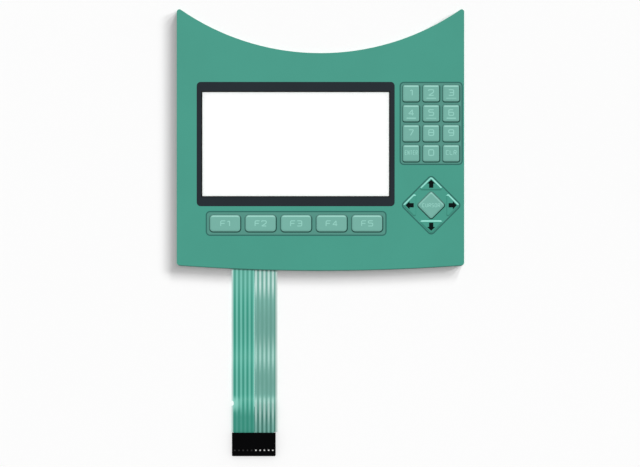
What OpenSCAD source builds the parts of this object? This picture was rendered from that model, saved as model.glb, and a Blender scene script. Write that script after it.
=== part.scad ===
// Membrane keypad: embossed overlay with a display window, a number pad, a row of
// function keys, a cursor diamond and a flat tail ending in a ten way connector.
// Lies on its release liner with the front face up. Units are millimetres.

/* [Panel] */
// Width of the panel
panel_w = 172.4; // [150:0.1:200]
// Height of the panel from the bottom bow to the tips of the horns
panel_h = 157; // [140:0.5:180]
// Depth of the concave top edge below the horn tips
notch_depth = 26.3; // [15:0.1:40]
// Height of the bow of the bottom edge
bow = 3.2; // [1:0.1:8]
// Tip radius of the two horns
horn_r = 1.5; // [0.8:0.1:4]
// Radius of the two bottom corners
corner_r = 2.2; // [0.8:0.1:6]

/* [Layers] */
// Thickness of the overlay film
overlay_t = 0.25; // [0.15:0.01:0.5]
// Thickness of the adhesive under the overlay
overlay_adhesive_t = 0.15; // [0.05:0.01:0.3]
// Thickness of the dome spacer and of the window sheet in it
dome_spacer_t = 0.2; // [0.1:0.01:0.6]
// Thickness of each circuit film
circuit_t = 0.125; // [0.1:0.005:0.2]
// Thickness of the spacer between the circuits
circuit_spacer_t = 0.2; // [0.1:0.01:0.4]
// Thickness of the rear adhesive
rear_adhesive_t = 0.15; // [0.05:0.01:0.3]
// Thickness of the release liner
liner_t = 0.1; // [0.05:0.01:0.2]
// Thickness of printed ink, conductors included
ink_t = 0.03; // [0.02:0.005:0.05]
// How far the inner layers stay inside the edge of the overlay
layer_inset = 0.3; // [0:0.1:1]

/* [Window] */
// Distance of the display window from the left side of the panel
window_left = 15.3; // [6:0.1:45]
// Distance of the display window from the right side of the panel
window_right = 45.1; // [44.5:0.1:70]
// Height of the display window
window_h = 62.4; // [40:0.2:75]
// Window centre, above the panel centre
window_y = -2.4; // [-10:0.1:5]
// Width of the printed border at the sides
border_side = 3.4; // [2:0.1:6]
// Width of the printed border at top and bottom
border_end = 6.1; // [3:0.1:9]
// Corner radius of the printed border
border_r = 2.4; // [1:0.1:5]
// How far the clear sheet reaches behind the window edge
window_lap = 2.6; // [1.5:0.1:5]
// How far the inner layers stand back from the window edge
window_back = 1; // [0.5:0.1:2]

/* [Keys] */
// Side of a number key at its foot
number_key = 10.9; // [9:0.1:11.2]
// Spacing of the number keys
number_pitch = 12; // [10:0.1:14]
// Centre of the number pad, in from the right side of the panel
number_edge = 19.8; // [19.2:0.1:22.5]
// Centre of the number pad, above the panel centre
number_y = 10; // [0:0.1:15]
// Corner radius of the top of a number key
number_r = 0.2; // [0.1:0.1:1]
// Width of a function key at its foot
function_w = 19.3; // [15:0.1:20]
// Spacing of the function keys
function_pitch = 21.3; // [18:0.1:24]
// Centre of the function row, right of the panel centre
function_x = -14.6; // [-20:0.1:-10]
// Centre of the function row, above the panel centre
function_y = -50; // [-58:0.1:-45]
// Corner radius of the top of a function key
function_r = 1; // [0.2:0.1:2]
// Centre of the cursor diamond, above the panel centre
cursor_y = -39.1; // [-45:0.1:-35]
// Half diagonal of the sharp cursor outline
cursor_reach = 18.1; // [15:0.1:20]
// Half diagonal of the sharp centre key
centre_reach = 9.1; // [7:0.1:9.4]
// Distance of the long side of an arrow key from the cursor centre
arrow_near = 9; // [8:0.1:11]
// Distance of the sharp tip of an arrow key from the cursor centre
arrow_far = 17.2; // [15:0.1:17.4]
// Corner radius of the tops of the arrow keys and the centre key
arrow_r = 0.3; // [0.1:0.1:1]

/* [Embossing] */
// Height of the number, function and centre keys above the overlay
key_rise = 0.6; // [0.3:0.05:1]
// Height of the arrow keys above the overlay
arrow_rise = 0.45; // [0.2:0.05:0.8]
// Run of the steep side of a key
wall_run = 0.6; // [0.4:0.05:0.9]
// Height of the steep side of a key
wall_rise = 0.4; // [0.2:0.05:0.6]
// Run of the sloping shoulder between the steep side and the top
shoulder_run = 0.9; // [0.4:0.05:1.2]
// Run of the steep side of an arrow key
arrow_wall_run = 0.25; // [0.2:0.05:0.5]
// Height of the steep side of an arrow key
arrow_wall_rise = 0.22; // [0.15:0.01:0.4]
// Run of the shoulder of an arrow key
arrow_shoulder_run = 0.6; // [0.2:0.05:0.8]
// Width of the printed group outlines
outline_w = 0.75; // [0.4:0.05:1.5]
// Gap from the outermost keys to the number pad outline
number_rim = 1.15; // [0.8:0.05:1.5]
// Gap from the outermost keys to the function row outline
function_rim = 1.65; // [1:0.05:2.5]

/* [Switches] */
// Diameter of a dome under a square or long key
dome_d = 8.4; // [6:0.1:9]
// Diameter of a dome under an arrow key
small_dome_d = 5; // [4:0.1:6]
// Metal thickness of a dome
dome_t = 0.07; // [0.05:0.01:0.12]
// Free travel between a dome and the key above it
dome_gap = 0.25; // [0.1:0.05:0.4]
// Side clearance round a dome
dome_clear = 0.25; // [0.1:0.05:0.5]
// Diameter of a contact pad under a large dome
pad_d = 5; // [3:0.1:6]
// Diameter of a contact pad under a small dome
small_pad_d = 3; // [2:0.1:4]
// Width of a conductor inside the panel
track_w = 0.7; // [0.4:0.05:1]
// Spacing of conductors that run side by side
track_pitch = 1.3; // [1:0.05:1.6]

/* [Tail] */
// Centre of the tail, right of the panel centre
tail_x = -39.6; // [-60:0.1:60]
// Width of the tail
tail_w = 27.5; // [26:0.1:30]
// Free length of the tail
tail_l = 97; // [60:1:150]
// Slit between the two halves of the tail
tail_slit = 0.12; // [0.1:0.02:1]
// Width of a conductor on the tail
tail_track_w = 1.25; // [0.8:0.05:1.6]
// Height of the first crest of the tail above the table
tail_crest = 1.3; // [0.8:0.1:2]
// Height of the first hollow
tail_low = 0.35; // [0.2:0.05:0.8]
// Height of the second crest
tail_crest_2 = 1.8; // [1:0.1:2.5]
// Height of the second hollow
tail_low_2 = 1.25; // [0.5:0.05:1.6]
// Height of the bend where the stiffener starts
tail_bend = 1.85; // [1:0.05:2.5]
// Radius of the nick in the left edge of the tail
nick_r = 1.5; // [0.5:0.1:1.6]
// Length of the stiffener on the tail
stiffener_l = 15.6; // [8:0.1:17]
// Thickness of the stiffener
stiffener_t = 0.2; // [0.1:0.05:0.4]

/* [Connector] */
// Number of ways
ways = 10; // [10:2:10]
// Spacing of the ways
way_pitch = 2.54; // [2.54:0.01:2.54]
// Shift of the ways and of the connector from the middle of the tail
way_shift = -0.4; // [-0.6:0.1:0.6]
// Width of the connector housing
housing_w = 26.2; // [26:0.1:27]
// Length of the connector housing
housing_l = 14.1; // [12:0.1:18]
// Thickness of the connector housing
housing_t = 3; // [2.8:0.1:4]
// Chamfer round the mating end
housing_chamfer = 0.5; // [0.2:0.1:0.8]
// Side of the square bore for each contact
bore = 1.9; // [1.7:0.1:2]
// Side of the square pin entry in the mating face
pin_entry = 1; // [0.8:0.1:1.2]
// Thickness of the mating face
mating_wall = 1; // [0.8:0.1:1.5]
// Depth to which the tail enters the housing
tail_insert = 5; // [4:0.1:6]
// Side of a contact box
contact_box = 1.7; // [1.5:0.05:1.8]
// Metal thickness of a contact
contact_t = 0.2; // [0.15:0.05:0.3]
// Length of a contact box
contact_l = 6.2; // [5:0.1:7]
// Side of an inspection port over a contact
port = 1; // [0.8:0.1:1.2]
// Distance of the ports from the mating end
port_y = 3.6; // [3:0.1:5]

/* [Hidden] */
$fn = 96;
arc_fn = 720;

// Which sub-part is drawn

// Heights of the layers, from the table up
liner_z = 0;
rear_adhesive_z = liner_z + liner_t;
lower_z = rear_adhesive_z + rear_adhesive_t;
circuit_spacer_z = lower_z + circuit_t;
upper_z = circuit_spacer_z + circuit_spacer_t;
dome_z = upper_z + circuit_t;
overlay_adhesive_z = dome_z + dome_spacer_t;
overlay_z = overlay_adhesive_z + overlay_adhesive_t;
front_z = overlay_z + overlay_t;

// Panel outline, about the panel centre
horn = [panel_w / 2 - horn_r, panel_h / 2 - horn_r];
notch_r = (pow(horn[0], 2) + pow(notch_depth - horn_r, 2) - pow(horn_r, 2)) / (2 * notch_depth);
notch_y = panel_h / 2 - notch_depth + notch_r;
bow_r = (pow(panel_w / 2, 2) + pow(bow, 2)) / (2 * bow);
bow_y = bow_r - panel_h / 2;
corner_x = panel_w / 2 - corner_r;
// The corner circle crosses the bowed edge by a hair, so that the two never just graze
corner_cross = 0.002;
corner = [corner_x, bow_y - sqrt(pow(bow_r - corner_r + corner_cross, 2) - pow(corner_x, 2))];

// The origin is under the middle of the whole part, tail and connector included
panel_y = (tail_l + housing_l) / 2;

// Window and number pad, placed from the sides of the panel
window_w = panel_w - window_left - window_right;
window_x = (window_left - window_right) / 2;
number_x = panel_w / 2 - number_edge;

// Profiles of the embossed sides: inset and height at the foot, the shoulder and the top
key_profile = [[0, 0], [wall_run, wall_rise], [wall_run + shoulder_run, key_rise]];
arrow_profile = [
    [0, 0], [arrow_wall_run, arrow_wall_rise], [arrow_wall_run + arrow_shoulder_run, arrow_rise],
];

// Keys: name, centre, core polygon about the centre, foot radius, profile, dome and pad diameter
number_foot_r = number_r + wall_run + shoulder_run;
function_foot_r = function_r + wall_run + shoulder_run;
centre_foot_r = arrow_r + wall_run + shoulder_run;
arrow_foot_r = arrow_r + arrow_wall_run + arrow_shoulder_run;
number_names = [["1", "2", "3"], ["4", "5", "6"], ["7", "8", "9"], ["enter", "0", "clear"]];
number_core = number_key / 2 - number_foot_r;
function_core = [function_w / 2 - function_foot_r, number_key / 2 - function_foot_r];
centre_core = centre_reach - centre_foot_r * sqrt(2);
arrow_tip = arrow_far - arrow_foot_r * sqrt(2);
arrow_base = arrow_near + arrow_foot_r;
arrow_dome = arrow_near + (arrow_far - arrow_near) * (sqrt(2) - 1);
arrow_core = [
    [arrow_tip - arrow_dome, 0],
    [arrow_base - arrow_dome, arrow_tip - arrow_base],
    [arrow_base - arrow_dome, arrow_base - arrow_tip],
];
cursor = [number_x, cursor_y];
number_keys = [
    for (row = [0:3], col = [0:2]) [
        number_names[row][col],
        [number_x + (col - 1) * number_pitch, number_y + (1.5 - row) * number_pitch],
        box_core(number_core, number_core),
        number_foot_r,
        key_profile,
        dome_d,
        pad_d,
    ],
];
function_keys = [
    for (i = [1:5]) [
        str("f", i),
        [function_x + (i - 3) * function_pitch, function_y],
        box_core(function_core[0], function_core[1]),
        function_foot_r,
        key_profile,
        dome_d,
        pad_d,
    ],
];
centre_key = [
    "centre",
    cursor,
    [for (a = [0:90:270]) turned([centre_core, 0], a)],
    centre_foot_r,
    key_profile,
    dome_d,
    pad_d,
];
arrow_keys = [
    for (i = [0:3]) [
        ["right", "up", "left", "down"][i],
        cursor + turned([arrow_dome, 0], i * 90),
        [for (p = arrow_core) turned(p, i * 90)],
        arrow_foot_r,
        arrow_profile,
        small_dome_d,
        small_pad_d,
    ],
];
pale_keys = concat(number_keys, function_keys, [centre_key]);
keys = concat(pale_keys, arrow_keys);

// Group outlines: centre, core polygon, radius of the middle of the line
outline_r = 2.2;
number_outline = number_pitch + number_key / 2 + number_rim - outline_r;
function_outline = [
    function_pitch * 2 + function_w / 2 + function_rim - outline_r,
    number_key / 2 + function_rim - outline_r,
];
cursor_core = cursor_reach - outline_r * sqrt(2);
outlines = [
    [[number_x, number_y], box_core(number_outline, number_outline + number_pitch / 2)],
    [[function_x, function_y], box_core(function_outline[0], function_outline[1])],
    [cursor, [for (a = [0:90:270]) turned([cursor_core, 0], a)]],
];

// Tail: distance from the lowest point of the panel and height of the middle of the film
tail_start = -panel_h / 2;
tail_root = bow + corner_r;
tail_steps = 12;
connector_z = housing_t / 2;
function tail_route(exit_z) = [
    [-tail_root, exit_z],
    [1, exit_z],
    [tail_l * 0.23, tail_crest],
    [tail_l * 0.44, tail_low],
    [tail_l * 0.62, tail_crest_2],
    [tail_l * 0.76, tail_low_2],
    [tail_l - stiffener_l - 1, tail_bend],
    [tail_l, connector_z],
    [tail_l + tail_insert, connector_z],
];
tongue_w = housing_w - 2;
mating_y = tail_start - tail_l - housing_l;

// How far the dark ink of a key side reaches past its foot and its shoulder
ink_edge = 0.05;

// Flats that make up a round corner of a slanted key
corner_steps = 8;

// Spare radius past a rounded corner, for the wedge that trims it
wedge = 8;

// Small helpers

function turned(p, a) = [p[0] * cos(a) - p[1] * sin(a), p[0] * sin(a) + p[1] * cos(a)];

function box_core(x, y) = [[-x, -y], [x, -y], [x, y], [-x, y]];

function unit(v) = v / norm(v);

function next(list, i) = list[(i + 1) % len(list)];

function place_of(name) = [for (k = keys) if (k[0] == name) k[1]][0];

// Direction of edge i of a polygon, in degrees
function heading(core, i) = let (d = next(core, i) - core[i]) atan2(d[1], d[0]);

// Whether every edge of a polygon runs along X or Y
function upright(core) =
    max([for (i = [0:len(core) - 1]) abs(sin(2 * heading(core, i)))]) < 0.001;

// Points round a convex polygon grown outward by r, with round corners
function ring(core, r) = [
    for (i = [0:len(core) - 1])
        let (
            start = heading(core, (i + len(core) - 1) % len(core)) - 90,
            turn = (heading(core, i) - 90 - start + 720) % 360
        )
        for (s = [0:corner_steps])
            let (a = start + turn * s / corner_steps) core[i] + r * [cos(a), sin(a)],
];

// Corner of a band beside a path, mitred at the bends
function mitre(path, i, d) =
    let (
        a = i == 0 ? path[1] - path[0] : path[i] - path[i - 1],
        b = i == len(path) - 1 ? a : path[i + 1] - path[i],
        p = turned(unit(a), 90),
        q = turned(unit(b), 90)
    )
    path[i] + d * (p + q) / (1 + p * q);

// Flat shapes

// Convex polygon grown outward by r with round corners, true arcs where it stands upright
module rounded(core, r) {
    if (upright(core)) {
        polygon(core);
        for (i = [0:len(core) - 1]) {
            p = core[i];
            q = next(core, i);
            out = r * turned(unit(q - p), -90);
            polygon([p, p + out, q + out, q]);
            translate(p)
                circle(r = r);
        }
    } else {
        polygon(ring(core, r));
    }
}

module trimmed_corner(centre, u, v) {
    polygon([centre, centre + wedge * u, centre + wedge * (u + v), centre + wedge * v]);
}

module panel_outline(inset = 0) {
    side = panel_w / 2 - inset;
    difference() {
        intersection() {
            translate([-side, -panel_h])
                square([2 * side, 2 * panel_h]);
            translate([0, bow_y])
                circle(r = bow_r - inset, $fn = arc_fn);
        }
        translate([0, notch_y])
            circle(r = notch_r + inset, $fn = arc_fn);
        for (s = [-1, 1]) {
            tip = [s * horn[0], horn[1]];
            trimmed_corner(tip, [s, 0], unit([0, notch_y] - tip));
            foot = [s * corner[0], corner[1]];
            trimmed_corner(foot, [s, 0], unit(foot - [0, bow_y]));
        }
    }
    for (s = [-1, 1]) {
        translate([s * horn[0], horn[1]])
            circle(r = horn_r - inset);
        translate([s * corner[0], corner[1]])
            circle(r = corner_r - inset);
    }
}

module window_shape(grow = 0) {
    translate([window_x, window_y])
        square([window_w + 2 * grow, window_h + 2 * grow], center = true);
}

module border_shape() {
    translate([window_x, window_y])
        rounded(
            box_core(window_w / 2 + border_side - border_r, window_h / 2 + border_end - border_r),
            border_r
        );
}

module outline_shape() {
    for (o = outlines)
        translate(o[0])
            difference() {
                rounded(o[1], outline_r + outline_w / 2);
                rounded(o[1], outline_r - outline_w / 2);
            }
}

module inner_layer_shape() {
    difference() {
        panel_outline(layer_inset);
        window_shape(window_back);
    }
}

// Embossed keys

// Convex polygon raised to a plateau whose sides follow a profile of insets and heights
module plateau(core, r, profile) {
    rise = profile[len(profile) - 1][1];
    if (upright(core)) {
        linear_extrude(rise)
            polygon(core);
        for (i = [0:len(core) - 1])
            translate([core[i][0], core[i][1], 0]) {
                rotate([0, 0, heading(core, i)])
                    rotate([90, 0, 90])
                        linear_extrude(norm(next(core, i) - core[i]))
                            polygon(concat([for (p = profile) [p[0] - r, p[1]]], [[0, rise], [0, 0]]));
                rotate_extrude()
                    polygon(concat([for (p = profile) [r - p[0], p[1]]], [[0, rise], [0, 0]]));
            }
    } else {
        slanted_plateau([for (p = profile) [for (q = ring(core, r - p[0])) [q[0], q[1], p[1]]]]);
    }
}

// Plateau through a stack of rings with the same number of points
module slanted_plateau(rings) {
    n = len(rings[0]);
    top = len(rings) - 1;
    polyhedron(
        points = [for (level = rings, p = level) p],
        faces = concat(
            [[for (i = [0:n - 1]) i]],
            [[for (i = [n - 1:-1:0]) top * n + i]],
            [
                for (j = [0:top - 1], i = [0:n - 1])
                    [j * n + i, j * n + n + i, j * n + n + (i + 1) % n, j * n + (i + 1) % n],
            ]
        )
    );
}

// Inside of an embossed film: the profile moved inward by the thickness of the film
function hollow_profile(profile) =
    let (
        last = len(profile) - 1,
        path = concat([profile[0] - [1, 0]], profile, [profile[last] + [1, 0]])
    )
    [for (i = [1:last + 1]) mitre(path, i, -overlay_t) + [0, overlay_t]];

// Profile with an upright skirt below its foot, so that it runs into the film
function skirted(profile) =
    concat([[profile[0][0], 0]], [for (p = profile) p + [0, overlay_t / 2]]);

module key_outside(k) {
    translate([k[1][0], k[1][1], front_z - overlay_t / 2])
        plateau(k[2], k[3], skirted(k[4]));
}

module key_hollow(k) {
    translate([k[1][0], k[1][1], overlay_z - overlay_t / 2])
        plateau(k[2], k[3], skirted(hollow_profile(k[4])));
}

// Column over the part of a key that lies inside an inset from its foot
module key_column(k, inset) {
    translate([k[1][0], k[1][1], front_z - 2 * ink_t])
        linear_extrude(2 * key_rise)
            rounded(k[2], k[3] - inset);
}

// Overlay and its print

module overlay_solid() {
    difference() {
        union() {
            translate([0, 0, overlay_z])
                linear_extrude(overlay_t)
                    difference() {
                        panel_outline();
                        window_shape();
                    }
            for (k = keys)
                key_outside(k);
        }
        for (k = keys)
            key_hollow(k);
        border_ink();
        group_outline_ink();
        for (k = pale_keys)
            difference() {
                key_column(k, -ink_edge);
                sunk_key(k);
            }
    }
}

// A key with some of the flat film round its foot
module key_on_film(k) {
    key_outside(k);
    translate([k[1][0], k[1][1], overlay_z])
        linear_extrude(overlay_t)
            square(2 * function_w, center = true);
}

// The same, lower by the thickness of the ink
module sunk_key(k) {
    translate([0, 0, -ink_t])
        key_on_film(k);
}

module border_ink() {
    translate([0, 0, front_z - ink_t])
        linear_extrude(ink_t)
            difference() {
                border_shape();
                window_shape();
            }
}

module group_outline_ink() {
    translate([0, 0, front_z - ink_t])
        linear_extrude(ink_t)
            outline_shape();
}

// Ink on a pale key inside an inset from its foot
module coat(k, inset) {
    difference() {
        intersection() {
            key_column(k, inset);
            key_on_film(k);
        }
        sunk_key(k);
    }
}

module outline_ink() {
    group_outline_ink();
    for (k = pale_keys)
        difference() {
            coat(k, -ink_edge);
            key_column(k, wall_run + ink_edge);
        }
}

module key_ink() {
    for (k = pale_keys)
        coat(k, wall_run + ink_edge);
}

// Inner layers

module overlay_adhesive_solid() {
    translate([0, 0, overlay_adhesive_z])
        linear_extrude(overlay_adhesive_t)
            difference() {
                panel_outline(layer_inset);
                window_shape(window_back / 2);
                for (k = keys)
                    translate(k[1])
                        rounded(k[2], k[3]);
            }
}

module window_solid() {
    translate([0, 0, dome_z])
        linear_extrude(dome_spacer_t)
            window_shape(window_lap);
}

module dome_spacer_solid() {
    translate([0, 0, dome_z])
        linear_extrude(dome_spacer_t)
            difference() {
                panel_outline(layer_inset);
                window_shape(window_lap + dome_clear);
                for (k = keys)
                    translate(k[1])
                        circle(d = k[5] + 2 * dome_clear);
            }
}

module circuit_spacer_solid() {
    vent = 1;
    translate([0, 0, circuit_spacer_z])
        linear_extrude(circuit_spacer_t)
            difference() {
                inner_layer_shape();
                for (k = keys)
                    translate(k[1])
                        circle(d = k[6] + 1);
                // Vents let the air move from one key chamber to the next
                for (row = [0:3])
                    translate([number_x, number_keys[row * 3][1][1]])
                        square([2 * number_pitch, vent], center = true);
                translate([function_x, function_y])
                    square([4 * function_pitch, vent], center = true);
                for (a = [0, 90])
                    translate(cursor)
                        rotate(a)
                            square([2 * arrow_dome, vent], center = true);
            }
}

module flat_layer(z, t) {
    translate([0, 0, z])
        linear_extrude(t)
            inner_layer_shape();
}

// Domes

module dome_solid(k) {
    rise = overlay_z + k[4][2][1] - dome_gap - dome_z;
    half = k[5] / 2;
    ball = (pow(half, 2) + pow(rise, 2)) / (2 * rise);
    translate([k[1][0], k[1][1], dome_z])
        rotate_extrude()
            intersection() {
                translate([0, rise - ball])
                    difference() {
                        circle(r = ball, $fn = arc_fn);
                        circle(r = ball - dome_t, $fn = arc_fn);
                    }
                square([k[5], rise + 1]);
            }
}

// Tail

connector_x = tail_x + way_shift;
function way_at(i) = (i - (ways + 1) / 2) * way_pitch;
function way_x(i) = connector_x + way_at(i);

// Heights along a route: each pair of points is joined by a smooth double bend
function wave(route) = [
    for (i = [0:len(route) - 2], step = [0:tail_steps - 1])
        let (p = route[i], d = route[i + 1] - p, t = step / tail_steps)
            if (step == 0 || abs(d[1]) > 0.001) p + [d[0] * t, d[1] * (1 - cos(180 * t)) / 2],
    route[len(route) - 1],
];

// Strip that follows the route of the tail, between two offsets from the middle of the film
module tail_strip(route, x, w, lo, hi) {
    points = wave(route);
    last = len(points) - 1;
    translate([x, tail_start, 0])
        mirror([0, 1, 0])
            rotate([90, 0, 90])
                linear_extrude(w)
                    polygon(concat(
                        [for (i = [0:last]) points[i] + [0, lo]],
                        [for (i = [last:-1:0]) points[i] + [0, hi]]
                    ));
}

// Circuits

// Lanes for the conductors that pass above and below the function keys
function over_y(i) = window_y - window_h / 2 - window_back - 2.2 - i * track_pitch;
function under_y(i) = function_y - pad_d / 2 - 2 - i * track_pitch;
function riser_x(i) = window_x + window_w / 2 + window_back + 1.6 + i * track_pitch;
function left_x(i) = function_x - 2 * function_pitch - pad_d / 2 - 2 - i * track_pitch;
tail_top = tail_start + 1;

upper_paths = [
    // First column of numbers and the left arrow
    [
        [way_x(1), tail_top], [way_x(1), under_y(2)], [left_x(1), under_y(2)],
        [left_x(1), over_y(0)], [place_of("left")[0] - 5, over_y(0)],
        place_of("left"), place_of("1"),
    ],
    // Second column and the up arrow
    [
        [way_x(2), tail_top], [way_x(2), under_y(1)], [left_x(0), under_y(1)],
        [left_x(0), over_y(1)], [riser_x(1), over_y(1)],
        [riser_x(1) + 3, place_of("left")[1] - 3.2],
        [place_of("left")[0] + 4.6, place_of("left")[1] - 3.2],
        [place_of("left")[0] + 4.6, place_of("up")[1]], place_of("up"), place_of("2"),
    ],
    // First four function keys and the centre key
    [
        place_of("f1"), place_of("f4"), place_of("f4") + [5, 0],
        [place_of("f5")[0] - 8, over_y(3)], [riser_x(0), over_y(3)],
        [riser_x(1) + 3, place_of("left")[1] - 5], [cursor[0], place_of("left")[1] - 5], cursor,
    ],
    [[way_x(3), tail_top], [way_x(3), function_y]],
    // Fifth function key and the down arrow
    [
        [way_x(4), tail_top], [way_x(4), under_y(0)],
        [place_of("f5")[0], under_y(0)], place_of("f5"),
        [riser_x(1), function_y], [riser_x(2), place_of("down")[1]], place_of("down"),
    ],
    // Third column and the right arrow
    [
        [way_x(5), tail_top], [way_x(5), under_y(1)], [place_of("f5")[0], under_y(1)],
        [riser_x(0), under_y(3)], [place_of("right")[0], under_y(3)],
        place_of("right"), place_of("3"),
    ],
];

lower_paths = [
    // First to third rows of numbers, each by way of a function key
    for (i = [0:2])
        [
            [way_x(6 + i), tail_top], [way_x(6 + i), under_y(i == 0 ? 3 : i)],
            [place_of(str("f", i + 1))[0], under_y(i == 0 ? 3 : i)],
            [place_of(str("f", i + 1))[0], over_y(i)],
            [riser_x(i), over_y(i)], [riser_x(i), number_keys[3 * i][1][1]],
            number_keys[3 * i + 2][1],
        ],
    // Fourth row, by way of the last two function keys
    [
        [way_x(9), tail_top], [way_x(9), under_y(3)], [place_of("f4")[0], under_y(3)],
        place_of("f4"), [riser_x(3), function_y], [riser_x(3), place_of("0")[1]],
        place_of("clear"),
    ],
    // Cursor keys
    [
        [way_x(10), tail_top], [way_x(10), under_y(4)], [cursor[0], under_y(4)],
        place_of("up"),
    ],
    [place_of("left"), place_of("right")],
];

module band(path, w) {
    last = len(path) - 1;
    polygon(concat(
        [for (i = [0:last]) mitre(path, i, w / 2)],
        [for (i = [last:-1:0]) mitre(path, i, -w / 2)]
    ));
}

module conductor_shape(paths) {
    for (p = paths)
        band(p, track_w);
    for (k = keys)
        translate(k[1])
            circle(d = k[6]);
}

module tail_conductors(ways_on, exit_z, lo, hi) {
    for (i = ways_on)
        tail_strip(tail_route(exit_z), way_x(i) - tail_track_w / 2, tail_track_w, lo, hi);
}

// Film of one circuit: a panel layer and a half of the tail, narrowed where it enters the housing
module circuit_film(z, side) {
    half = (tail_w - tail_slit) / 2;
    x = side < 0 ? tail_x - tail_w / 2 : tail_x + tail_slit / 2;
    flat_layer(z, circuit_t);
    difference() {
        tail_strip(tail_route(z + circuit_t / 2), x, half, -circuit_t / 2, circuit_t / 2);
        translate([
            connector_x + side * (tongue_w + tail_w) / 2, tail_start - tail_l - tail_insert, connector_z,
        ])
            cube([tail_w, 2 * tail_insert + 0.6, 1], center = true);
    }
}

module upper_ink(spare = 0) {
    translate([0, 0, upper_z - spare])
        linear_extrude(ink_t + spare)
            conductor_shape(upper_paths);
    tail_conductors([1:5], upper_z + circuit_t / 2, -circuit_t / 2 - spare, ink_t - circuit_t / 2);
}

module lower_ink(spare = 0) {
    translate([0, 0, lower_z + circuit_t - ink_t])
        linear_extrude(ink_t + spare)
            conductor_shape(lower_paths);
    tail_conductors([6:10], lower_z + circuit_t / 2, circuit_t / 2 - ink_t, circuit_t / 2 + spare);
}

module upper_circuit_solid() {
    difference() {
        circuit_film(upper_z, -1);
        upper_ink(spare = ink_t);
        translate([tail_x - tail_w / 2, tail_start - tail_l + stiffener_l + nick_r + 0.5, 0])
            cylinder(r = nick_r, h = 2 * housing_t);
    }
}

module lower_circuit_solid() {
    difference() {
        circuit_film(lower_z, 1);
        lower_ink(spare = ink_t);
    }
}

module stiffener_solid() {
    gap = 0.4;
    intersection() {
        tail_strip(
            tail_route(connector_z), tail_x - tail_w / 2, tail_w,
            -circuit_t / 2 - stiffener_t, -circuit_t / 2
        );
        translate([tail_x - tail_w, tail_start - tail_l + gap, 0])
            cube([2 * tail_w, stiffener_l - gap, housing_t]);
    }
}

// Connector, drawn about the middle of its mating end with the tail side towards +Y

module housing_solid() {
    slot = 0.7;
    difference() {
        intersection() {
            translate([-housing_w / 2, 0, 0])
                cube([housing_w, housing_l, housing_t]);
            rotate([90, 0, 90])
                linear_extrude(housing_w + 2, center = true)
                    polygon([
                        [0, housing_chamfer], [housing_chamfer, 0], [housing_l, 0],
                        [housing_l, housing_t], [housing_chamfer, housing_t],
                        [0, housing_t - housing_chamfer],
                    ]);
            linear_extrude(housing_t)
                polygon([
                    [-housing_w / 2 + housing_chamfer, 0], [housing_w / 2 - housing_chamfer, 0],
                    [housing_w / 2, housing_chamfer], [housing_w / 2, housing_l],
                    [-housing_w / 2, housing_l], [-housing_w / 2, housing_chamfer],
                ]);
        }
        for (i = [1:ways])
            translate([way_at(i), 0, connector_z]) {
                translate([0, mating_wall + (housing_l - mating_wall - 1) / 2, 0])
                    cube([bore, housing_l - mating_wall - 1, bore], center = true);
                cube([pin_entry, 4 * mating_wall, pin_entry], center = true);
                translate([0, port_y, 0])
                    cube([port, port, 2 * housing_t], center = true);
            }
        translate([0, housing_l, connector_z])
            cube([tongue_w + 0.4, 2 * tail_insert + 0.8, slot], center = true);
    }
}

// Contact box with a locking tab, a back wall and a tongue that lies on the conductor
module contact_solid(i) {
    side = i > ways / 2 ? 1 : -1;
    box_y = mating_wall + 0.1;
    tongue_z = circuit_t / 2;
    tongue_y = housing_l - tail_insert + 3.5;
    translate([way_at(i), 0, connector_z])
        mirror([0, 0, side > 0 ? 0 : 1]) {
            translate([0, box_y, 0])
                difference() {
                    translate([-contact_box / 2, 0, -contact_box / 2])
                        cube([contact_box, contact_l, contact_box]);
                    translate([contact_t - contact_box / 2, -1, contact_t - contact_box / 2])
                        cube([
                            contact_box - 2 * contact_t,
                            contact_l + 1 - contact_t,
                            contact_box - 2 * contact_t,
                        ]);
                }
            translate([-0.35, port_y - 0.35, contact_box / 2 - contact_t])
                cube([0.7, 0.7, contact_t + 0.35]);
            translate([-tail_track_w / 2, box_y + contact_l - contact_t, tongue_z])
                cube([tail_track_w, tongue_y - box_y - contact_l + contact_t, contact_t]);
        }
}

module on_panel() {
    translate([0, panel_y, 0])
        children();
}

module on_connector() {
    translate([connector_x, panel_y + mating_y, 0])
        children();
}

// Sub-parts

module overlay() {
    color([0.30, 0.61, 0.54])
        on_panel()
            overlay_solid();
}

module border_print() {
    color([0.18, 0.2, 0.22])
        on_panel()
            border_ink();
}

module outline_print() {
    color([0.25, 0.47, 0.43])
        on_panel()
            outline_ink();
}

module key_print() {
    color([0.48, 0.7, 0.65])
        on_panel()
            key_ink();
}

module overlay_adhesive() {
    color([0.9, 0.88, 0.78])
        on_panel()
            overlay_adhesive_solid();
}

module display_window() {
    color([0.9, 0.95, 0.95, 0.3])
        on_panel()
            window_solid();
}

module dome_spacer() {
    color([0.92, 0.92, 0.88])
        on_panel()
            dome_spacer_solid();
}

module upper_circuit() {
    color([0.45, 0.78, 0.7])
        on_panel()
            upper_circuit_solid();
}

module upper_conductors() {
    color([0.22, 0.58, 0.5])
        on_panel()
            upper_ink();
}

module circuit_spacer() {
    color([0.92, 0.92, 0.88])
        on_panel()
            circuit_spacer_solid();
}

module lower_circuit() {
    color([0.43, 0.64, 0.58])
        on_panel()
            lower_circuit_solid();
}

module lower_conductors() {
    color([0.78, 0.86, 0.84])
        on_panel()
            lower_ink();
}

module rear_adhesive() {
    color([0.9, 0.88, 0.78])
        on_panel()
            flat_layer(rear_adhesive_z, rear_adhesive_t);
}

module release_liner() {
    color([0.95, 0.95, 0.93])
        on_panel()
            flat_layer(liner_z, liner_t);
}

module tail_stiffener() {
    color([0.2, 0.5, 0.44])
        on_panel()
            stiffener_solid();
}

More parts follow.
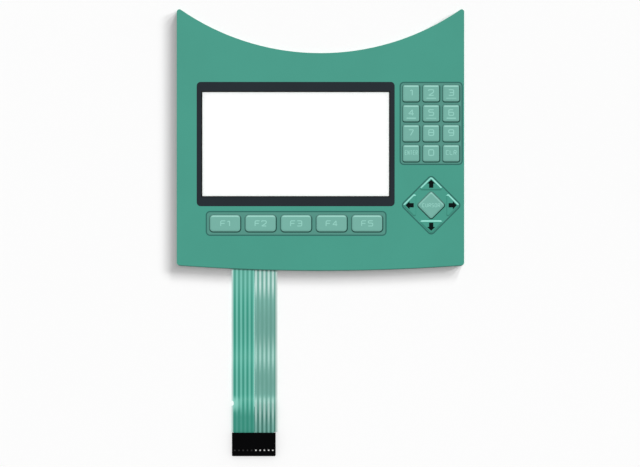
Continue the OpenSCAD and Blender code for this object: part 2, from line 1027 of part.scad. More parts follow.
module connector_housing() {
    color([0.03, 0.03, 0.04])
        on_connector()
            housing_solid();
}

module contact(i) {
    color([0.85, 0.85, 0.82])
        on_connector()
            contact_solid(i);
}

module dome(k) {
    color([0.75, 0.76, 0.78])
        on_panel()
            dome_solid(k);
}

overlay();
border_print();
outline_print();
key_print();
overlay_adhesive();
display_window();
dome_spacer();
upper_circuit();
upper_conductors();
circuit_spacer();
lower_circuit();
lower_conductors();
rear_adhesive();
release_liner();
tail_stiffener();
connector_housing();
for (k = keys)
    dome(k);
for (i = [1:ways])
    contact(i);
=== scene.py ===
"""Membrane keypad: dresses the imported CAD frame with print, film and metal looks, and lights it."""

import math

import bmesh
import bpy
from mathutils import Matrix, Vector


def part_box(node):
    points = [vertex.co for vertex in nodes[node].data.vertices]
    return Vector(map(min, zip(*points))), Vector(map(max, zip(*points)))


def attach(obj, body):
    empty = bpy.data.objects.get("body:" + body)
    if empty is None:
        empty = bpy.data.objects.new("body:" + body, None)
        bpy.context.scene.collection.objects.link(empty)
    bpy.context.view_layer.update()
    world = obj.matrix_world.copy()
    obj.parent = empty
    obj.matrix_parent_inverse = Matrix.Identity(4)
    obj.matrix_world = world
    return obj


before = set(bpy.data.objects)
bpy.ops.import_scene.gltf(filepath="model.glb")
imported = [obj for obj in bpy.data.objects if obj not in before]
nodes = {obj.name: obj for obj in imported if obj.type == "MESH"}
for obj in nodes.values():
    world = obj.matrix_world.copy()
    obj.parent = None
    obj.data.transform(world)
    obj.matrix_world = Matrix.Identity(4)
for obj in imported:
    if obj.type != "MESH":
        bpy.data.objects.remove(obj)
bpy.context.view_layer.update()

MM = 0.001

# Width and middle of the picture on the face of the panel, in millimetres
FRAME_W = 384.0
LOOK_AT = (-0.3, -0.5)

# Height of the camera over the panel in metres, its sensor in millimetres and how far it sees in metres
CAMERA_D = 2.4
SENSOR = 36.0
CAMERA_REACH = 20

# Light that a level face gets from the sky and from each lamp: share, zenith, turn from +Y to +X, size
SKY = 0.42
SOFT_BOXES = {
    "soft_top": (0.31, 34, 6, 28),
    "soft_right": (0.15, 56, 38, 20),
    "soft_left": (0.10, 56, -38, 20),
}
LOW_LAMPS = {
    "low_far": (0.36, 82.6, 45, 4),
    "low_mid": (0.16, 79.5, 45, 6),
    "low_near": (0.05, 66, 45, 14),
}
WINDOW_LAMP = (0.66, 2, 0, 20)

# Each low lamp stands in three places, so that the ends of the shadow fade
LOW_TURNS = (-20, 0, 20)

# Heights and edges worked out from the frame
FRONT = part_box("border_print")[1].z
KEY_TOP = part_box("key_print")[1].z
PANEL_LOW, PANEL_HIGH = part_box("overlay")
SHEET_LOW, SHEET_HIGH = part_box("display_window")
STIFF_LOW, STIFF_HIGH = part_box("tail_stiffener")
PANEL_EDGE = PANEL_LOW.y
STIFF_Y = STIFF_HIGH.y

# Height of the arrow keys over the panel, thickness of the print added here and how deep it sits
ARROW_RISE = 0.45 * MM
PRINT_T = 0.016 * MM
PRINT_SINK = PRINT_T / 4


def srgb(r, g, b):
    """Scene-linear colour of an 8 bit display colour."""
    out = []
    for v in (r, g, b):
        v = v / 255
        out.append(v / 12.92 if v <= 0.04045 else ((v + 0.055) / 1.055) ** 2.4)
    return (*out, 1.0)


def grey(v):
    """Opaque scene-linear grey."""
    return (v, v, v, 1.0)


def shade(color, factor):
    """Opaque colour, lighter or darker by a factor."""
    return (*(min(c * factor, 1.0) for c in color[:3]), 1.0)


def centre(node):
    """Middle of a CAD node's box."""
    low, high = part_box(node)
    return (low + high) / 2


# Materials

# Noise: octaves, scale of the slow drift of colours, and the ranges that are spread over a full step
FINE_DETAIL = 3
COARSE_DETAIL = 2
DRIFT_SCALE = 26
DRIFT_RANGE = (0.3, 0.7)
FINE_RANGE = (0.2, 0.8)
BRUSH_RANGE = (0.25, 0.75)

# Grain of printed film: noise scale and depth, and what any fine grain does to bump and gloss
FILM_GRAIN = 5200
FILM_DEPTH = 0.006 * MM
GRAIN_BUMP = 0.1
GLOSS_SPREAD = 0.05

# Embossed film: drift of its colour, and where the painted shade along the lower edge starts and is full
# inside that edge
FILM_SPREAD = 0.02
EDGE_SHADE_START = 0.6 * MM
EDGE_SHADE_FULL = 0.3 * MM

# Limits of the normal where the painted highlight lies: its upward part on a steep and on a level face, and
# its part to the panel's top
STEEP = (0.97, 0.99)
FACING_TOP = (0.1, 0.22)

# Line ink on the key sides, with painted light and shade: weights of the normal in its tone, their range, and
# where it counts as level
WALL_X = 0.6
WALL_Y = -0.9
WALL_RANGE = (-0.45, 0.45)
WALL_LEVEL = (0.9, 0.98)

# Traces on the tail: half width as seen through the film, soft edge, and a step of no visible width
HALF_TRACE = 0.68 * MM
TRACE_SOFT = 0.3 * MM
HAIR = 0.01 * MM

# Fade of the traces over the start of the stiffener, below it and above it
FADE_BELOW = 7 * MM
FADE_ABOVE = 2 * MM

# Streaks and ripples along the tail film, and its gloss
STREAK_SCALE = 420
STREAK_STRETCH = (1.0, 0.03, 1.0)
STREAK_RANGE = (0.35, 0.75)
STREAK_SHARE = 0.18
RIPPLE_SCALE = 2600
RIPPLE_STRETCH = (1.0, 0.2, 1.0)
RIPPLE_BUMP = 0.06
RIPPLE_DEPTH = 0.02 * MM
TAIL_ROUGHNESS = 0.25

# Painted sheen on the tail film close to the panel, in a paler tone: where that ends and where it is full
# below the panel's edge, and share
SHEEN_END = 22 * MM
SHEEN_FULL = 3 * MM
SHEEN_SHARE = 0.12
SHEEN_TINT = srgb(168, 226, 214)

# Painted glint beside the nick in the tail: core with the full share
GLINT_CORE = 0.5 * MM
GLINT_SHARE = 0.85

# Painted reflections on the silver, bright stretches: below the panel's edge, on a crest further below it,
# about the stiffener
SHINE_NEAR_END = 19 * MM
SHINE_NEAR_FULL = 7 * MM
CREST_LOW = 52 * MM
CREST_HIGH = 46 * MM
CREST_FLANKS = (12 * MM, 10 * MM)
CREST_SHARE = 0.3
BEND_LOW = 3 * MM
BEND_HIGH = 1 * MM
BEND_FLANKS = (10 * MM, 6 * MM)
BEND_SHARE = 0.65

# Grain of the silver, and the shares of grain and of the painted reflections in its colour
SILVER_GRAIN = 1800
SILVER_STRETCH = (1.0, 0.05, 1.0)
SILVER_GLOSS = (0.4, 0.52)
SILVER_FROM_GRAIN = 0.2
SILVER_FROM_LIGHT = 0.8

# Grain of rolled metal, its darker tone and the spread of its gloss
METAL_GRAIN = 2200
METAL_STRETCH = (1.0, 0.06, 1.0)
METAL_BUMP = 0.15
METAL_DEPTH = 0.01 * MM
METAL_DARK = 0.9
METAL_SMOOTHER = 0.06
METAL_ROUGHER = 0.08

# Clear sheet: haze and opacity
HAZE_SCALE = 40
HAZE = (0.01, 0.05)
SHEET_ALPHA = 0.08


class Nodes:
    """Short ways to add and link shader nodes in one material."""

    def __init__(self, name):
        self.mat = bpy.data.materials.new(name)
        self.mat.use_nodes = True
        self.tree = self.mat.node_tree
        self.bsdf = self.tree.nodes["Principled BSDF"]

    def add(self, kind, **values):
        node = self.tree.nodes.new(kind)
        for key, value in values.items():
            setattr(node, key, value)
        return node

    def link(self, source, target):
        self.tree.links.new(source, target)

    def put(self, value, socket):
        """Link a socket, or set it to a plain value."""
        if isinstance(value, bpy.types.NodeSocket):
            self.link(value, socket)
        else:
            socket.default_value = value

    def math(self, operation, a, b=0.0, c=0.0):
        node = self.add("ShaderNodeMath", operation=operation)
        for value, socket in zip((a, b, c), node.inputs):
            self.put(value, socket)
        return node.outputs[0]

    def step(self, value, start, stop, low=0.0, high=1.0):
        """Smooth step of a value between two limits."""
        node = self.add("ShaderNodeMapRange", interpolation_type="SMOOTHSTEP")
        for item, socket in zip((value, start, stop, low, high), node.inputs):
            self.put(item, socket)
        return node.outputs[0]

    def band(self, value, low, high, rise, fall):
        """One between two limits, with a soft flank outside each of them."""
        up = self.step(value, low - rise, low)
        down = self.step(value, high, high + fall, 1.0, 0.0)
        return self.math("MULTIPLY", up, down)

    def mix(self, factor, a, b):
        node = self.add("ShaderNodeMix", data_type="RGBA")
        self.put(factor, node.inputs[0])
        self.put(a, node.inputs[6])
        self.put(b, node.inputs[7])
        return node.outputs[2]

    def place(self):
        """Position on the part, in metres."""
        return self.add("ShaderNodeTexCoord").outputs["Object"]

    def split(self, vector):
        node = self.add("ShaderNodeSeparateXYZ")
        self.link(vector, node.inputs[0])
        return node.outputs

    def axes(self):
        """Position on the part, along each axis."""
        return self.split(self.place())

    def normal(self):
        """Surface normal along each axis of the part."""
        return self.split(self.add("ShaderNodeTexCoord").outputs["Normal"])

    def distance(self, point):
        """Distance from a point on the part."""
        node = self.add("ShaderNodeVectorMath", operation="DISTANCE")
        self.link(self.place(), node.inputs[0])
        node.inputs[1].default_value = point
        return node.outputs["Value"]

    def inside(self, low, high, soft):
        """One inside an upright box on the face of the panel, none outside it."""
        axes = self.axes()
        across = self.band(axes["X"], low.x, high.x, soft, soft)
        along = self.band(axes["Y"], low.y, high.y, soft, soft)
        return self.math("MULTIPLY", across, along)

    def noise(self, scale, detail, stretch=None):
        node = self.add("ShaderNodeTexNoise")
        node.inputs["Scale"].default_value = scale
        node.inputs["Detail"].default_value = detail
        if stretch:
            mapping = self.add("ShaderNodeMapping")
            mapping.inputs["Scale"].default_value = stretch
            self.link(self.place(), mapping.inputs[0])
            self.link(mapping.outputs[0], node.inputs["Vector"])
        else:
            self.link(self.place(), node.inputs["Vector"])
        return node.outputs[0]

    def bump(self, height, strength, distance):
        node = self.add("ShaderNodeBump")
        node.inputs["Strength"].default_value = strength
        node.inputs["Distance"].default_value = distance
        self.link(height, node.inputs["Height"])
        self.link(node.outputs[0], self.bsdf.inputs["Normal"])

    def skin(self, color, roughness, grain, depth, spread, fields=()):
        """Colour with a slow drift and tinted fields, and gloss with a fine grain that is raised as well."""
        drift = self.step(self.noise(DRIFT_SCALE, FINE_DETAIL), *DRIFT_RANGE)
        fine = self.noise(grain, FINE_DETAIL)
        self.bump(fine, GRAIN_BUMP, depth)
        gloss = self.step(fine, *FINE_RANGE, roughness - GLOSS_SPREAD, roughness + GLOSS_SPREAD)
        body = self.mix(drift, shade(color, 1 - spread), shade(color, 1 + spread))
        for low, high, soft, tint in fields:
            body = self.mix(self.inside(low, high, soft), body, tint)
        return body, gloss

    def finish(self, color, roughness, **values):
        """Set the shader's sockets; a name in values has an underscore for each space."""
        self.put(color, self.bsdf.inputs["Base Color"])
        self.put(roughness, self.bsdf.inputs["Roughness"])
        for key, value in values.items():
            self.put(value, self.bsdf.inputs[key.replace("_", " ")])
        return self.mat


def grained(name, color, roughness, grain, depth, spread=0.03, fields=(), **values):
    """Matte skin: fine grain in the surface, slow drift of the colour."""
    n = Nodes(name)
    body, gloss = n.skin(color, roughness, grain, depth, spread, fields)
    return n.finish(body, gloss, **values)


def embossed(name, color, painted_sheen, roughness, fields=(), edge_shade=None, **values):
    """Printed film, with a painted highlight in a paler tone on the slopes of the embossing that face the top
    of the panel, and painted shade along the lower edge when that is given.
    """
    n = Nodes(name)
    body, gloss = n.skin(color, roughness, FILM_GRAIN, FILM_DEPTH, FILM_SPREAD, fields)
    # Painted shade in a dark band inside the lower edge of the panel.
    if edge_shade:
        middle, radius, tint = edge_shade
        body = n.mix(n.step(n.distance(middle), radius - EDGE_SHADE_START, radius - EDGE_SHADE_FULL), body, tint)
    # Painted highlight: the paler tone on steep slopes that face the top of the panel.
    normal = n.normal()
    slope = n.step(normal["Z"], *STEEP, 1.0, 0.0)
    facing = n.step(normal["Y"], *FACING_TOP)
    return n.finish(n.mix(n.math("MULTIPLY", slope, facing), body, painted_sheen), gloss, **values)


def sided(name, flat, lit, dim, roughness, **values):
    """Line ink: one tone on the level film; on the sides of the keys a lighter tone facing the top and left
    and a darker one facing the bottom and right, painted light and shade.
    """
    n = Nodes(name)
    normal = n.normal()
    # Painted light and shade: the sides of the keys get the dim tone as they face the bottom and right, the
    # lit tone as they face the top and left.
    away = n.math("MULTIPLY_ADD", normal["X"], WALL_X, n.math("MULTIPLY", normal["Y"], WALL_Y))
    painted_wall_light = n.mix(n.step(away, *WALL_RANGE), lit, dim)
    level = n.step(normal["Z"], *WALL_LEVEL)
    n.bump(n.noise(FILM_GRAIN, FINE_DETAIL), GRAIN_BUMP, FILM_DEPTH)
    return n.finish(n.mix(level, painted_wall_light, flat), roughness, **values)


def striped(name, ways, trace, gap, margin, margin_x, glint=None):
    """Tail film: traces seen through it, a bare margin, other tones over the stiffener, a painted sheen close
    to the panel and, when given, a painted glint.
    """
    n = Nodes(name)
    axes = n.axes()
    x = axes["X"]
    y = axes["Y"]
    pitch = ways[1] - ways[0]
    turn = n.math("PINGPONG", n.math("SUBTRACT", x, ways[0]), pitch / 2)
    reach = n.band(x, ways[0] - pitch / 2 + HAIR, ways[-1] + pitch / 2, HAIR, HAIR)
    line = n.step(turn, HALF_TRACE - TRACE_SOFT, HALF_TRACE + TRACE_SOFT, 1.0, 0.0)
    back = n.step(y, STIFF_Y - FADE_BELOW, STIFF_Y + FADE_ABOVE, 1.0, 0.0)
    body = n.mix(n.math("MULTIPLY", reach, line), n.mix(back, *gap), n.mix(back, *trace))
    streak = n.step(n.noise(STREAK_SCALE, COARSE_DETAIL, STREAK_STRETCH), *STREAK_RANGE)
    body = n.mix(n.math("MULTIPLY", streak, STREAK_SHARE), body, gap[1])
    # Painted sheen: the film is paler close to the panel.
    painted_sheen = n.step(y, PANEL_EDGE - SHEEN_END, PANEL_EDGE - SHEEN_FULL, 0.0, SHEEN_SHARE)
    body = n.mix(painted_sheen, body, SHEEN_TINT)
    # Painted glint beside the nick.
    if glint:
        point, radius, tint = glint
        body = n.mix(n.step(n.distance(point), GLINT_CORE, radius, GLINT_SHARE, 0.0), body, tint)
    n.bump(n.noise(RIPPLE_SCALE, COARSE_DETAIL, RIPPLE_STRETCH), RIPPLE_BUMP, RIPPLE_DEPTH)
    return n.finish(n.mix(n.step(x, *margin_x), body, margin), TAIL_ROUGHNESS)


def silver(name, dull, painted_shine):
    """Printed silver under a clear coat, with painted reflections that make it brighter on three stretches of
    the tail.
    """
    n = Nodes(name)
    y = n.axes()["Y"]
    # Painted reflections: bright stretches below the panel's edge, on a crest and about the stiffener.
    new = n.step(y, PANEL_EDGE - SHINE_NEAR_END, PANEL_EDGE - SHINE_NEAR_FULL)
    crest = n.band(y, PANEL_EDGE - CREST_LOW, PANEL_EDGE - CREST_HIGH, *CREST_FLANKS)
    bend = n.band(y, STIFF_Y - BEND_LOW, STIFF_Y + BEND_HIGH, *BEND_FLANKS)
    light = n.math("MAXIMUM", n.math("MULTIPLY", bend, BEND_SHARE), n.math("MULTIPLY", crest, CREST_SHARE))
    light = n.math("MULTIPLY", n.math("MAXIMUM", new, light), SILVER_FROM_LIGHT)
    grain = n.noise(SILVER_GRAIN, FINE_DETAIL, SILVER_STRETCH)
    n.bump(grain, GRAIN_BUMP, METAL_DEPTH)
    color = n.mix(n.math("MULTIPLY_ADD", grain, SILVER_FROM_GRAIN, light), dull, painted_shine)
    gloss = n.step(grain, *BRUSH_RANGE, *SILVER_GLOSS)
    return n.finish(color, gloss, Metallic=0.3, Coat_Weight=1.0, Coat_Roughness=0.33)


def brushed(name, color, roughness, metal=1.0):
    """Rolled metal with a faint grain along it."""
    n = Nodes(name)
    grain = n.noise(METAL_GRAIN, FINE_DETAIL, METAL_STRETCH)
    gloss = n.step(grain, *BRUSH_RANGE, roughness - METAL_SMOOTHER, roughness + METAL_ROUGHER)
    n.bump(grain, METAL_BUMP, METAL_DEPTH)
    return n.finish(n.mix(grain, shade(color, METAL_DARK), color), gloss, Metallic=metal)


def clear_sheet(name):
    """Clear plastic with a slight uneven haze."""
    n = Nodes(name)
    haze = n.step(n.noise(HAZE_SCALE, COARSE_DETAIL), *DRIFT_RANGE, *HAZE)
    return n.finish(grey(1.0), haze, Alpha=SHEET_ALPHA)


# Greyer fields inside two of the key group outlines: low and high corner, soft edge, tint
PAD_REACH = Vector((6.4 * MM, 6.4 * MM, 0))
ROW_REACH = Vector((10.8 * MM, 6.6 * MM, 0))
FIELD_SOFT = 0.4 * MM
FIELD_TINT = srgb(80, 146, 132)
FIELDS = [
    (centre("dome_enter") - PAD_REACH, centre("dome_3") + PAD_REACH, FIELD_SOFT, FIELD_TINT),
    (centre("dome_f1") - ROW_REACH, centre("dome_f5") + ROW_REACH, FIELD_SOFT, FIELD_TINT),
]

# Painted shade: a dark band along the bowed lower edge of the panel
BOW = 3.2 * MM
BOW_R = ((PANEL_HIGH.x - PANEL_LOW.x) ** 2 / 4 + BOW ** 2) / (2 * BOW)
BOW_CENTRE = Vector((0, PANEL_LOW.y + BOW_R, FRONT))
PAINTED_EDGE_SHADE = (BOW_CENTRE, BOW_R, srgb(44, 100, 88))

# The clear sheet reaches under the border; along the cut edge of the window the border is painted nearly
# black, painted shade of that edge
SHEET_LAP = 2.6 * MM
EDGE_W = 0.6 * MM
EDGE_SOFT = 0.3 * MM
EDGE_INSET = Vector((SHEET_LAP - EDGE_W, SHEET_LAP - EDGE_W, 0))
CUT_EDGE_SHADE = [(SHEET_LOW + EDGE_INSET, SHEET_HIGH - EDGE_INSET, EDGE_SOFT, srgb(4, 5, 8))]

# The second colour of the teal film is a painted highlight on the slopes that face the top of the panel
FILM = embossed(
    "film_teal", srgb(66, 155, 136), srgb(140, 215, 200), 0.4, FIELDS, PAINTED_EDGE_SHADE, Specular_IOR_Level=0.35)
# Border ink, with the painted shade along the cut edge of the window
BORDER = grained(
    "ink_slate", srgb(25, 35, 42), 0.4, FILM_GRAIN, FILM_DEPTH, 0.05, CUT_EDGE_SHADE, Specular_IOR_Level=0.25)
# Outline ink: its level tone, then the lit and dim tones of painted light and shade on the key sides
OUTLINE = sided(
    "ink_deep_teal", srgb(38, 104, 94), srgb(72, 124, 114), srgb(18, 72, 62), 0.45,
    Specular_IOR_Level=0.3)
# The second colour of the key ink is a painted highlight on the slopes that face the top of the panel
KEY = embossed(
    "ink_pale_teal", srgb(116, 178, 164), srgb(152, 210, 196), 0.45, Specular_IOR_Level=0.35)
LEGEND = grained("ink_legend", srgb(145, 207, 193), 0.4, FILM_GRAIN, FILM_DEPTH)
ARROW = grained(
    "ink_black", srgb(1, 14, 14), 0.45, FILM_GRAIN, FILM_DEPTH, 0.1, Specular_IOR_Level=0.08)
HOUSING = grained(
    "plastic_black", srgb(2, 2, 3), 0.42, 2400, 0.015 * MM, 0.2, Specular_IOR_Level=0.04)
ADHESIVE = grained("adhesive_clear", srgb(222, 222, 208), 0.3, 700, 0.02 * MM)
SPACER = grained("film_white", srgb(228, 230, 226), 0.32, 1600, 0.01 * MM)
LINER = grained("paper_liner", srgb(232, 230, 222), 0.7, 1300, 0.03 * MM)
STIFF = grained("film_stiffener", srgb(58, 136, 119), 0.4, 1600, 0.02 * MM)
CLEAR = clear_sheet("sheet_clear")
STEEL = brushed("metal_dome", (0.60, 0.60, 0.61, 1.0), 0.3)
# Contacts: one metal in a lit and a shaded copy, painted light and shade
CONTACT = brushed("metal_contact", (0.97, 0.97, 0.95, 1.0), 0.4, metal=0.1)
CONTACT_SHADED = brushed("metal_contact_shaded", grey(0.05), 0.5, metal=0.6)
# Silver: its dull tone, and the brighter tone of its painted reflections
SILVER = silver("ink_silver", (0.13, 0.41, 0.34, 1.0), (0.54, 0.77, 0.71, 1.0))

# Ways of the connector, how many of them the upper film has, and where each lies across the tail
WAY_COUNT = 10
UPPER_WAYS = 5
WAYS = [centre("contact_%d" % i).x for i in range(1, WAY_COUNT + 1)]

# Painted glint beside the nick in the left edge of the tail: middle, reach and tint
NICK = Vector((STIFF_LOW.x + 1.0 * MM, STIFF_Y + 1.6 * MM, 1.9 * MM))
NICK_GLINT = (NICK, 6 * MM, srgb(140, 212, 196))

# Tail films: tones of traces and of gaps above the stiffener and over it, the margin and its soft edge
UPPER = striped(
    "film_upper", WAYS[:UPPER_WAYS],
    (srgb(54, 151, 130), srgb(44, 140, 120)), (srgb(114, 196, 179), srgb(66, 154, 136)),
    srgb(190, 216, 211), (STIFF_LOW.x + 1.1 * MM, STIFF_LOW.x + 0.7 * MM), NICK_GLINT)
LOWER = striped(
    "film_lower", WAYS[UPPER_WAYS:],
    (srgb(106, 164, 151), srgb(76, 132, 121)), (srgb(105, 164, 150), srgb(66, 125, 112)),
    srgb(190, 210, 204), (STIFF_HIGH.x - 1.3 * MM, STIFF_HIGH.x - 0.9 * MM))

DRESS = {
    "overlay": FILM,
    "border_print": BORDER,
    "outline_print": OUTLINE,
    "key_print": KEY,
    "overlay_adhesive": ADHESIVE,
    "rear_adhesive": ADHESIVE,
    "display_window": CLEAR,
    "dome_spacer": SPACER,
    "circuit_spacer": SPACER,
    "upper_circuit": UPPER,
    "lower_circuit": LOWER,
    "upper_conductors": SILVER,
    "lower_conductors": SILVER,
    "release_liner": LINER,
    "tail_stiffener": STIFF,
    "connector_housing": HOUSING,
}

# Contacts on the lower film face up in their ports and get a near-white copy of the metal; the others face
# down and get a dark copy, painted light and shade of the same metal
for i in range(1, WAY_COUNT + 1):
    DRESS["contact_%d" % i] = CONTACT if i > UPPER_WAYS else CONTACT_SHADED

# The nodes without an entry are the domes
for name, node in nodes.items():
    node.data.materials.clear()
    node.data.materials.append(DRESS.get(name, STEEL))


# Print on the keys

# Strokes of each sign in a box of one by one
STROKES = {
    "0": [[(0, 0.5), (0, 0), (1, 0), (1, 1), (0, 1), (0, 0.5)]],
    "1": [[(0, 0.8), (1, 1), (1, 0)]],
    "2": [[(0, 0.78), (0, 1), (1, 1), (1, 0.56), (0, 0)], [(0, 0), (1, 0)]],
    "3": [[(0, 1), (1, 1), (1, 0), (0, 0)], [(0.2, 0.5), (1, 0.5)]],
    "4": [[(0.74, 0), (0.74, 1)], [(0.74, 1), (0, 0.27)], [(0, 0.27), (1, 0.27)]],
    "5": [[(1, 1), (0, 1), (0, 0.57), (1, 0.57), (1, 0), (0, 0)]],
    "6": [[(0.9, 1), (0, 1), (0, 0), (1, 0), (1, 0.56), (0.4, 0.56)], [(0, 0.56), (0.5, 0.56)]],
    "7": [[(0, 1), (1, 1), (0.36, 0)]],
    "8": [[(0, 0.5), (0, 0), (1, 0), (1, 1), (0, 1), (0, 0.5)], [(0, 0.52), (1, 0.52)]],
    "9": [[(0.1, 0), (1, 0), (1, 1), (0, 1), (0, 0.44), (0.6, 0.44)], [(0.5, 0.44), (1, 0.44)]],
    "C": [[(1, 1), (0, 1), (0, 0), (1, 0)]],
    "E": [[(1, 1), (0, 1), (0, 0), (1, 0)], [(0, 0.5), (0.9, 0.5)]],
    "F": [[(1, 1), (0, 1), (0, 0)], [(0, 0.5), (0.85, 0.5)]],
    "L": [[(0, 1), (0, 0), (1, 0)]],
    "N": [[(0, 0), (0, 1)], [(0, 1), (1, 0)], [(1, 0), (1, 1)]],
    "O": [[(0, 0.5), (0, 0), (1, 0), (1, 1), (0, 1), (0, 0.5)]],
    "R": [[(0, 0), (0, 1), (1, 1), (1, 0.46), (0.4, 0.46)], [(0, 0.46), (0.5, 0.46), (1, 0)]],
    "S": [[(1, 1), (0, 1), (0, 0.52), (1, 0.52), (1, 0), (0, 0)]],
    "T": [[(0, 1), (1, 1)], [(0.5, 1), (0.5, 0)]],
    "U": [[(0, 1), (0, 0), (1, 0), (1, 1)]],
    "-": [[(0, 0), (1, 0)]],
}

# Corners of a stroke: steps in the arc, its radius as a share of the height, most of a segment that it takes
CORNER_STEPS = 4
CORNER_SHARE = 0.2
CORNER_REACH = 0.48

# Least cosine at a corner, beyond which a band grows no wider
MITRE_LEAST = 0.5

# A later stroke of a sign lies a little higher, so that no two faces share a plane
LAYER_LIFT = PRINT_T / 8

# Points closer than this are one
WELD = 1e-7


def rounded(points, radius):
    """Open line with each corner turned into a short arc."""
    out = [points[0]]
    for before, here, after in zip(points, points[1:], points[2:]):
        to_a = before - here
        to_b = after - here
        reach = min(radius, to_a.length * CORNER_REACH, to_b.length * CORNER_REACH)
        start = here + to_a.normalized() * reach
        stop = here + to_b.normalized() * reach
        for i in range(CORNER_STEPS + 1):
            t = i / CORNER_STEPS
            out.append(start * (1 - t) ** 2 + here * 2 * t * (1 - t) + stop * t ** 2)
    out.append(points[-1])
    return out


def ribbon(bm, line, width, bottom, top):
    """Closed flat band of ink along a line."""
    rows = []
    for i, here in enumerate(line):
        into = (here - line[i - 1]).normalized() if i else None
        away = (line[i + 1] - here).normalized() if i + 1 < len(line) else None
        along = ((into or away) + (away or into)).normalized()
        side = Vector((-along.y, along.x)) * (width / 2 / max(along.dot(into or away), MITRE_LEAST))
        left = here + side
        right = here - side
        ring = ((left, bottom), (right, bottom), (right, top), (left, top))
        rows.append([bm.verts.new((p.x, p.y, z)) for p, z in ring])
    for one, two in zip(rows, rows[1:]):
        for k in range(4):
            bm.faces.new((one[k], one[(k + 1) % 4], two[(k + 1) % 4], two[k]))
    bm.faces.new(rows[0])
    bm.faces.new(rows[-1][::-1])


def word(bm, text, at, letter, widths=None):
    """Row of signs on a key about a point; letter is the outer width and height of a sign, gap and stroke."""
    width, height, gap, stroke = letter
    spans = [(widths or {}).get(sign, width) for sign in text]
    x = at.x - (sum(spans) + gap * (len(text) - 1)) / 2
    for sign, span in zip(text, spans):
        for layer, points in enumerate(STROKES[sign]):
            line = [Vector((
                x + stroke / 2 + u * (span - stroke),
                at.y + (v - 0.5) * (height - stroke))) for u, v in points]
            top = KEY_TOP + PRINT_T - PRINT_SINK + layer * LAYER_LIFT
            ribbon(bm, rounded(line, height * CORNER_SHARE), stroke, KEY_TOP - PRINT_SINK, top)
        x += span + gap


def add_piece(name, bm, look):
    """Turn a finished mesh into a piece of the part."""
    bmesh.ops.remove_doubles(bm, verts=bm.verts, dist=WELD)
    bmesh.ops.recalc_face_normals(bm, faces=bm.faces)
    mesh = bpy.data.meshes.new(name)
    bm.to_mesh(mesh)
    bm.free()
    mesh.materials.append(look)
    piece = bpy.data.objects.new(name, mesh)
    bpy.context.scene.collection.objects.link(piece)
    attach(piece, "root")


# Lettering of each group: outer width and height of a sign, gap between signs, stroke
DIGIT = (3.6 * MM, 4.0 * MM, 0, 0.62 * MM)
FUNCTION = (3.3 * MM, 3.7 * MM, 0.7 * MM, 0.6 * MM)
ENTER = (1.3 * MM, 2.9 * MM, 0.32 * MM, 0.4 * MM)
CLEAR_KEY = (1.85 * MM, 2.9 * MM, 0.45 * MM, 0.42 * MM)
CURSOR = (1.5 * MM, 2.4 * MM, 0.34 * MM, 0.38 * MM)
THIN = {"1": 1.9 * MM}

# Pale bar under the digit on five of the keys: width, and thickness on each key in millimetres
BAR_W = 6.4 * MM
BARS = {2: 0.6, 3: 0.4, 4: 0.8, 5: 0.45, 6: 0.8}

# Places from the middle of a number key
LEGEND_UP = Vector((0, 0.5 * MM, 0))
BAR_DOWN = Vector((0, -2.9 * MM, 0))

legends = bmesh.new()
for i in range(10):
    word(legends, str(i), centre("dome_%d" % i) + LEGEND_UP, DIGIT, THIN)
for i in range(1, 6):
    word(legends, "F%d" % i, centre("dome_f%d" % i), FUNCTION, THIN)
word(legends, "ENTER", centre("dome_enter") + LEGEND_UP, ENTER)
word(legends, "CLR", centre("dome_clear") + LEGEND_UP, CLEAR_KEY)
word(legends, "CURSOR", centre("dome_centre"), CURSOR)
for i, thick in BARS.items():
    word(legends, "-", centre("dome_%d" % i) + BAR_DOWN, (BAR_W, thick * MM, 0, thick * MM))
add_piece("key_legends", legends, LEGEND)

# Arrow that points along +X, in millimetres, and how far it lies outwards of its dome
ARROW_L = 4.9
ARROW_HEAD = 4.9
ARROW_SHAFT = 2.6
ARROW_NECK = 0.1
ARROW_OUT = 0.5
arrow_shape = [
    (ARROW_L / 2, 0), (ARROW_NECK, ARROW_HEAD / 2), (ARROW_NECK, ARROW_SHAFT / 2),
    (-ARROW_L / 2, ARROW_SHAFT / 2), (-ARROW_L / 2, -ARROW_SHAFT / 2),
    (ARROW_NECK, -ARROW_SHAFT / 2), (ARROW_NECK, -ARROW_HEAD / 2),
]
arrows = bmesh.new()
for quarter, dome in enumerate(("dome_right", "dome_up", "dome_left", "dome_down")):
    at = centre(dome)
    at.z = FRONT + ARROW_RISE - PRINT_SINK
    spin = Matrix.Rotation(quarter * math.pi / 2, 3, "Z")
    points = [at + spin @ Vector(((x + ARROW_OUT) * MM, y * MM, 0)) for x, y in arrow_shape]
    face = arrows.faces.new([arrows.verts.new(p) for p in points])
    grown = bmesh.ops.extrude_face_region(arrows, geom=[face])
    up = [e for e in grown["geom"] if isinstance(e, bmesh.types.BMVert)]
    bmesh.ops.translate(arrows, verts=up, vec=(0, 0, PRINT_T))
add_piece("key_arrows", arrows, ARROW)


# Stage, light and camera

# Floor: drop below the part, reach in metres, tone, its drift and the scale of that, roughness
FLOOR_DROP = 0.02 * MM
FLOOR_REACH = 3
FLOOR_TONE = 0.985
FLOOR_DRIFT = 0.004
FLOOR_SCALE = 3
FLOOR_ROUGHNESS = 0.9


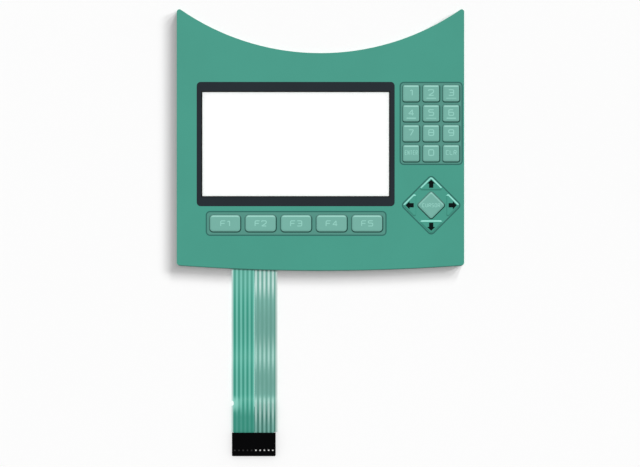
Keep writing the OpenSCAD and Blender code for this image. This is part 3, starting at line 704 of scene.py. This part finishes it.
def stage_sheet(name, low, high, z):
    """Level plain sheet of the stage."""
    n = Nodes(name)
    drift = n.step(n.noise(FLOOR_SCALE, COARSE_DETAIL), *DRIFT_RANGE)
    tone = n.mix(drift, grey(FLOOR_TONE), grey(FLOOR_TONE + FLOOR_DRIFT))
    mesh = bpy.data.meshes.new(name)
    corners = [(low[0], low[1], z), (high[0], low[1], z), (high[0], high[1], z), (low[0], high[1], z)]
    mesh.from_pydata(corners, [], [(0, 1, 2, 3)])
    mesh.materials.append(n.finish(tone, FLOOR_ROUGHNESS, Specular_IOR_Level=0.0))
    sheet = bpy.data.objects.new(name, mesh)
    bpy.context.scene.collection.objects.link(sheet)
    return sheet


def group(name, members):
    """Collection for the light linking of a lamp."""
    out = bpy.data.collections.new(name)
    for member in members:
        out.objects.link(member)
    return out


def sun(name, share, zenith, turn, size, receivers, blockers=None):
    """Distant soft lamp that gives a level face the share of light that is asked for."""
    data = bpy.data.lights.new(name, "SUN")
    data.energy = share * math.pi / math.cos(math.radians(zenith))
    data.angle = math.radians(size)
    lamp = bpy.data.objects.new(name, data)
    lamp.rotation_euler = (math.radians(-zenith), 0, math.radians(-turn))
    bpy.context.scene.collection.objects.link(lamp)
    lamp.light_linking.receiver_collection = receivers
    if blockers:
        lamp.light_linking.blocker_collection = blockers


pieces = [o for o in bpy.context.scene.objects if o.type == "MESH"]
floor = stage_sheet("floor", (-FLOOR_REACH, -FLOOR_REACH), (FLOOR_REACH, FLOOR_REACH), -FLOOR_DROP)
window_low, window_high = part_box("border_print")
under_window = stage_sheet("floor_in_window", window_low, window_high, -FLOOR_DROP / 2)

world = bpy.data.worlds.new("studio")
bpy.context.scene.world = world
world.use_nodes = True
backdrop = world.node_tree.nodes["Background"]
backdrop.inputs["Color"].default_value = grey(1.0)
backdrop.inputs["Strength"].default_value = SKY

# The low lamps light the floor alone, and only the layers of the panel shade it from them
PANEL = ("overlay", "overlay_adhesive", "dome_spacer", "circuit_spacer", "rear_adhesive", "release_liner")
lit_part = group("lit_part", pieces)
lit_window = group("lit_window", [under_window])
lit_floor = group("lit_floor", [floor])
panel_only = group("panel_only", [nodes[name] for name in PANEL])
for name, lamp in SOFT_BOXES.items():
    sun(name, *lamp, lit_part)
sun("window_lamp", *WINDOW_LAMP, lit_window)
for name, (share, zenith, turn, size) in LOW_LAMPS.items():
    for swing in LOW_TURNS:
        sun(name, share / len(LOW_TURNS), zenith, turn + swing, size, lit_floor, panel_only)

camera_data = bpy.data.cameras.new("camera")
camera_data.sensor_width = SENSOR
camera_data.lens = SENSOR * CAMERA_D / (FRAME_W * MM)
camera_data.clip_end = CAMERA_REACH
camera = bpy.data.objects.new("camera", camera_data)
camera.location = (LOOK_AT[0] * MM, LOOK_AT[1] * MM, FRONT + CAMERA_D)
bpy.context.scene.collection.objects.link(camera)
bpy.context.scene.camera = camera
bpy.context.scene.view_settings.view_transform = "Standard"
